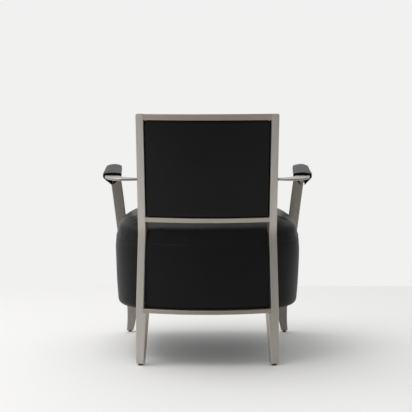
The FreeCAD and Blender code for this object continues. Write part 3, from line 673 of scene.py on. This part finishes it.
sleeve_low, sleeve_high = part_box("arm_sleeve_left")
sleeve_rear_y, sleeve_front_y = sleeve_high[1], sleeve_low[1]
sleeve_shares = (0.0, 0.25, 0.6, 0.85, 1.0)
pad_heights = (0.0073, 0.0105, 0.014, 0.014, 0.0112)
sleeve_thickness = 0.002
sleeve_overhang = 0.007
sleeve_shoulder = 0.6
sleeve_corner = 0.008
hem_drop = 0.023
arm_underside = 0.5885
arm_top = 0.596
arm_front_y = sleeve_front_y - 0.014
arm_outer_edge = (0.331, 0.3425)
arm_width = (0.046, 0.037)
arch_points = 41
pad_room = 0.0003
pad_setback = (0.009, 0.0015)


def arm_edges(y):
    share = (sleeve_rear_y - y) / (sleeve_rear_y - arm_front_y)
    outer = arm_outer_edge[0] + (arm_outer_edge[1] - arm_outer_edge[0]) * share
    return outer - (arm_width[0] + (arm_width[1] - arm_width[0]) * share), outer


def pad_height(y):
    share = (sleeve_rear_y - y) / (sleeve_rear_y - sleeve_front_y)
    return float(np.polyval(np.polyfit(sleeve_shares, pad_heights, 4), share))


def arch_line(half_width, height, inset):
    # Arch over the pad from one shoulder to the other
    half = half_width - inset
    foot = arm_top + height * sleeve_shoulder
    rise = arm_top + height + sleeve_thickness - inset - foot
    radius = (half * half + rise * rise) / (2.0 * rise)
    angles = np.linspace(1.0, -1.0, arch_points) * math.asin(half / radius)
    return np.column_stack((radius * np.sin(angles), foot + rise - radius + radius * np.cos(angles)))


def sleeve_side(half_width, gap, inset):
    # From the hem's tip up the slope, round the lower corner and up the side
    tip = np.array((gap / 2.0, arm_underside - hem_drop))
    slope = np.array((half_width, arm_underside)) - tip
    slope /= np.hypot(*slope)
    tip = tip + np.array((-slope[1], slope[0])) * inset
    corner = tip + slope * (half_width - inset - tip[0]) / slope[0]
    up = np.array((0.0, 1.0))
    half_angle = math.acos(-slope[1]) / 2.0
    reach = (sleeve_corner - inset) / math.tan(half_angle)
    shares = np.linspace(0.0, 1.0, 7)[:, None]
    rounding = (1 - shares) ** 2 * (corner - slope * reach) + 2 * shares * (1 - shares) * corner \
        + shares ** 2 * (corner + up * reach)
    straight = tip + (rounding[0] - tip) * np.linspace(0.0, 1.0, 9, endpoint=False)[:, None]
    return np.vstack((straight, rounding))


def sleeve_row(y, gap):
    inner, outer = arm_edges(y)
    half_width = (outer - inner) / 2.0 + sleeve_overhang
    half = sleeve_thickness / 2.0
    side = sleeve_side(half_width, gap, half)
    line = np.vstack((side, arch_line(half_width, pad_height(y), half), side[::-1] * (-1.0, 1.0)))
    ahead = np.gradient(line, axis=0)
    normal = np.column_stack((-ahead[:, 1], ahead[:, 0])) / np.linalg.norm(ahead, axis=1, keepdims=True)
    loop = np.vstack((line + normal * half, (line - normal * half)[::-1]))
    return np.column_stack((loop[:, 0] + (inner + outer) / 2.0, np.full(len(loop), y), loop[:, 1]))


def pad_row(y):
    inner, outer = arm_edges(y)
    inset = sleeve_thickness + pad_room
    half_width = (outer - inner) / 2.0 + sleeve_overhang
    crown = arch_line(half_width, pad_height(y), inset)
    base = [(x, arm_top + 0.0002) for x in np.linspace(inset - half_width, half_width - inset, 14)]
    loop = np.vstack((crown, base))
    return np.column_stack((loop[:, 0] + (inner + outer) / 2.0, np.full(len(loop), y), loop[:, 1]))


def capped(rows):
    # Lofted rows of a thin closed strip, with strips of quads over both ends
    points, faces = lofted(rows)
    count = len(rows[0])
    for start in (0, (len(rows) - 1) * count):
        for i in range(count // 2 - 1):
            faces.append((start + i, start + i + 1, start + count - 2 - i, start + count - 1 - i))
    return points, faces


sleeve_leather = leather("sleeve_leather", 760.0, 0.8,
                         (0.005, 0.0047, 0.0049), (0.0125, 0.012, 0.0122), 0.46, 0.16)
foam, tree, shader, place = finish_start("cut_foam")
cell = tree.nodes.new("ShaderNodeTexVoronoi")
cell.inputs["Scale"].default_value = 1100.0
tree.links.new(place, cell.inputs["Vector"])
tree.links.new(tint(tree, cloud(tree, place, 60.0), (0.018, 0.018, 0.018), (0.045, 0.043, 0.04)),
               shader.inputs["Base Color"])
tree.links.new(spread(tree, cell.outputs["Distance"], 0.85, 1.0), shader.inputs["Roughness"])
raised(tree, shader, cell.outputs["Distance"], 0.6, 0.0005)

hem_lines = {}
for side, sign, gap in (("left", 1.0, 0.004), ("right", -1.0, 0.015)):
    flip = np.array((sign, 1.0, 1.0))
    sleeve_ys = np.linspace(sleeve_rear_y, sleeve_front_y, 76)
    sleeve_rows = [sleeve_row(y, gap) * flip for y in sleeve_ys]
    sleeve = made("arm_sleeve_cover_" + side, *capped(sleeve_rows), sleeve_leather)
    ripple(sleeve, 0.0005, 60.0)
    ripple(sleeve, 0.0012, (40.0, 14.0, 40.0))
    pad_ys = np.linspace(sleeve_rear_y - pad_setback[0], sleeve_front_y + pad_setback[1], 40)
    pad_rows = [pad_row(y) * flip for y in pad_ys]
    ends = [(0, tuple(pad_rows[0].mean(axis=0))), (len(pad_rows) - 1, tuple(pad_rows[-1].mean(axis=0)))]
    pad = made("arm_pad_foam_" + side, *lofted(pad_rows, poles=ends), foam)
    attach(pad, "root")
    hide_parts("arm_pad_" + side)
    upholstery(sleeve, 0.7, "arm_sleeve_" + side)
    hem_lines[side] = []
    for face in (-1.0, 1.0):
        rowed = []
        for y in np.linspace(sleeve_rear_y - 0.004, sleeve_front_y + 0.004, 30):
            inner, outer = arm_edges(y)
            edge = sleeve_side((outer - inner) / 2.0 + sleeve_overhang, gap, -0.0002)
            u, z = edge[0] + (edge[8] - edge[0]) * 0.16
            rowed.append((sign * ((inner + outer) / 2.0 + face * u), y, z))
        hem_lines[side].append(rowed)


# Hem stitches: one row of bonded thread along each turned-down edge of the sleeves, where the hem is
# sewn through. Each stitch is a short length of thread that dips into the leather at both ends.

def repeat_along(name, instance_builder, sizes):
    tree = bpy.data.node_groups.new(name, "GeometryNodeTree")
    tree.interface.new_socket("Geometry", in_out="INPUT", socket_type="NodeSocketGeometry")
    for label, value in sizes.items():
        socket = tree.interface.new_socket(label, in_out="INPUT", socket_type="NodeSocketFloat")
        socket.default_value = value
    tree.interface.new_socket("Material", in_out="INPUT", socket_type="NodeSocketMaterial")
    tree.interface.new_socket("Geometry", in_out="OUTPUT", socket_type="NodeSocketGeometry")
    given = tree.nodes.new("NodeGroupInput").outputs
    line = tree.nodes.new("GeometryNodeMeshToCurve")
    spots = tree.nodes.new("GeometryNodeCurveToPoints")
    spots.mode = "LENGTH"
    put = tree.nodes.new("GeometryNodeInstanceOnPoints")
    real = tree.nodes.new("GeometryNodeRealizeInstances")
    smooth = tree.nodes.new("GeometryNodeSetShadeSmooth")
    paint = tree.nodes.new("GeometryNodeSetMaterial")
    tree.links.new(given["Geometry"], line.inputs["Mesh"])
    tree.links.new(line.outputs["Curve"], spots.inputs["Curve"])
    tree.links.new(given["Pitch"], spots.inputs["Length"])
    tree.links.new(spots.outputs["Points"], put.inputs["Points"])
    tree.links.new(spots.outputs["Rotation"], put.inputs["Rotation"])
    tree.links.new(instance_builder(tree, given), put.inputs["Instance"])
    tree.links.new(put.outputs["Instances"], real.inputs["Geometry"])
    tree.links.new(real.outputs["Geometry"], smooth.inputs["Geometry"])
    tree.links.new(smooth.outputs["Geometry"], paint.inputs["Geometry"])
    tree.links.new(given["Material"], paint.inputs["Material"])
    tree.links.new(paint.outputs["Geometry"], tree.nodes.new("NodeGroupOutput").inputs["Geometry"])
    return tree


def bead(tree, given):
    ball = tree.nodes.new("GeometryNodeMeshUVSphere")
    ball.inputs["Segments"].default_value = 8
    ball.inputs["Rings"].default_value = 6
    ball.inputs["Radius"].default_value = 1.0
    size = tree.nodes.new("ShaderNodeCombineXYZ")
    half = tree.nodes.new("ShaderNodeMath")
    half.operation = "MULTIPLY"
    half.inputs[1].default_value = 0.5
    tree.links.new(given["Length"], half.inputs[0])
    tree.links.new(given["Thickness"], size.inputs["X"])
    tree.links.new(given["Thickness"], size.inputs["Y"])
    tree.links.new(half.outputs[0], size.inputs["Z"])
    shape = tree.nodes.new("GeometryNodeTransform")
    tree.links.new(ball.outputs["Mesh"], shape.inputs["Geometry"])
    tree.links.new(size.outputs["Vector"], shape.inputs["Scale"])
    return shape.outputs["Geometry"]


def set_along(name, lines, tree, material, sizes, closed=False):
    # Lays the repeated pieces along the lines and keeps the result as a plain mesh
    mesh = bpy.data.meshes.new(name)
    points, edges = [], []
    for line in lines:
        start = len(points)
        points += [tuple(p) for p in line]
        edges += [(start + i, start + i + 1) for i in range(len(line) - 1)]
        if closed:
            edges.append((len(points) - 1, start))
    mesh.from_pydata(points, edges, [])
    piece = bpy.data.objects.new(name, mesh)
    bpy.context.scene.collection.objects.link(piece)
    rows_of = piece.modifiers.new("rows", "NODES")
    rows_of.node_group = tree
    for socket in tree.interface.items_tree:
        if socket.in_out == "INPUT" and socket.name in sizes:
            rows_of[socket.identifier] = sizes[socket.name]
        if socket.in_out == "INPUT" and socket.name == "Material":
            rows_of[socket.identifier] = material
    settle(piece)
    return piece


thread, tree, shader, place = finish_start("bonded_thread")
ply = cloud(tree, place, 2600.0, 1.0)
tree.links.new(tint(tree, ply, (0.01, 0.01, 0.01), (0.035, 0.034, 0.033)), shader.inputs["Base Color"])
tree.links.new(spread(tree, ply, 0.35, 0.6), shader.inputs["Roughness"])
raised(tree, shader, ply, 0.4, 0.0002)
stitch_sizes = {"Pitch": 0.004, "Length": 0.0031, "Thickness": 0.00035}
stitch_row = repeat_along("stitch_row", bead, stitch_sizes)
for side, rowed in hem_lines.items():
    stitches = set_along("hem_stitches_" + side, rowed, stitch_row, thread, stitch_sizes)
    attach(stitches, "root")


# Staples: fine wire staples through the turned-in leather and the dust cover into the base ring,
# set close together all round the bottom of the seat.

def wire_staple(tree, given):
    bar = tree.nodes.new("GeometryNodeMeshCube")
    size = tree.nodes.new("ShaderNodeCombineXYZ")
    tree.links.new(given["Thickness"], size.inputs["X"])
    tree.links.new(given["Thickness"], size.inputs["Y"])
    tree.links.new(given["Length"], size.inputs["Z"])
    tree.links.new(size.outputs["Vector"], bar.inputs["Size"])
    return bar.outputs["Mesh"]


staple_sizes = {"Pitch": 0.03, "Length": 0.01, "Thickness": 0.0007}
staple_row = repeat_along("staple_row", wire_staple, staple_sizes)
ring_line = seat_ring(seat_bottom, 0.0315, 1.0, seat_bottom - 0.0002)
staples = set_along("seat_staples", [ring_line], staple_row, zinc, staple_sizes, closed=True)
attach(staples, "root")


# Studio: a pale floor that ends at the wall line, soft light from the left and above, and the
# camera at the height, distance and pitch that the chair's feet and rails give.

wall_y = -1.29
wall_light = 0.88
floor_mesh = bpy.data.meshes.new("floor")
floor_mesh.from_pydata([(-7, wall_y, 0), (7, wall_y, 0), (7, 9, 0), (-7, 9, 0)], [], [(0, 1, 2, 3)])
pale_floor, tree, shader, place = finish_start("pale_floor")
depth = tree.nodes.new("ShaderNodeSeparateXYZ")
tree.links.new(place, depth.inputs["Vector"])
# The floor darkens from 0.9 m to 2.2 m towards the camera: painted shade, which the rails reflect.
floor_painted_shade = spread(tree, depth.outputs["Y"], 0.0, 1.0, 0.9, 2.2)
tree.links.new(tint(tree, floor_painted_shade, (0.85, 0.849, 0.845), (0.36, 0.355, 0.345)), shader.inputs["Base Color"])
shader.inputs["Roughness"].default_value = 0.8
floor_mesh.materials.append(pale_floor)
floor = bpy.data.objects.new("floor", floor_mesh)
bpy.context.scene.collection.objects.link(floor)

world = bpy.data.worlds.new("studio")
bpy.context.scene.world = world
world.use_nodes = True
sky = world.node_tree
sky.nodes.clear()
direction = sky.nodes.new("ShaderNodeTexCoord")
parts = sky.nodes.new("ShaderNodeSeparateXYZ")
sky.links.new(direction.outputs["Generated"], parts.inputs["Vector"])
across = parts.outputs["X"]
room_light = calc(sky, "ADD", calc(sky, "MULTIPLY", calc(sky, "MULTIPLY", across, across), 0.42),
                  calc(sky, "ADD", calc(sky, "MULTIPLY", across, 0.26), 0.2))
far_right = spread(sky, across, 0.6, 0.0, -0.9, -0.25)
wall_side = calc(sky, "SUBTRACT", wall_light, far_right)
room_share = spread(sky, parts.outputs["Y"], 0.0, 1.0, -0.15, 0.15)
overhead = calc(sky, "MAXIMUM", parts.outputs["Z"], 0.0)
strength = calc(sky, "ADD", calc(sky, "MULTIPLY", room_light, room_share),
                calc(sky, "MULTIPLY", calc(sky, "SUBTRACT", 1.0, room_share), wall_side))
strength = calc(sky, "ADD", strength, calc(sky, "MULTIPLY", calc(sky, "MULTIPLY", overhead, overhead), 0.35))
glow = sky.nodes.new("ShaderNodeBackground")
glow.inputs["Color"].default_value = (1.0, 0.998, 0.993, 1.0)
sky.links.new(strength, glow.inputs["Strength"])
sky.links.new(glow.outputs["Background"], sky.nodes.new("ShaderNodeOutputWorld").inputs["Surface"])


def lamp(name, place, target, size, power, colour):
    data = bpy.data.lights.new(name, "AREA")
    data.shape = "DISK"
    data.size = size
    data.energy = power
    data.color = colour
    piece = bpy.data.objects.new(name, data)
    piece.location = place
    piece.rotation_euler = (Vector(target) - Vector(place)).to_track_quat("-Z", "Y").to_euler()
    bpy.context.scene.collection.objects.link(piece)


lamp("key", (1.3, 0.3, 3.4), (0.0, 0.0, 0.4), 2.8, 58.0, (1.0, 0.99, 0.97))
lamp("fill", (-1.2, 2.6, 2.4), (0.0, 0.1, 0.4), 1.8, 3.0, (0.96, 0.98, 1.0))

focal_pixels = 1311.5
picture_side = 412
sensor = 36.0
camera_place = (0.0045, 4.3535, 0.933)
camera_pitch = 5.895
camera_data = bpy.data.cameras.new("camera")
camera_data.sensor_width = sensor
camera_data.lens = focal_pixels / picture_side * sensor
camera = bpy.data.objects.new("camera", camera_data)
camera.location = camera_place
camera.rotation_euler = (math.radians(90.0 - camera_pitch), 0.0, math.radians(180.0))
bpy.context.scene.collection.objects.link(camera)
bpy.context.scene.camera = camera
bpy.context.scene.view_settings.view_transform = "Standard"
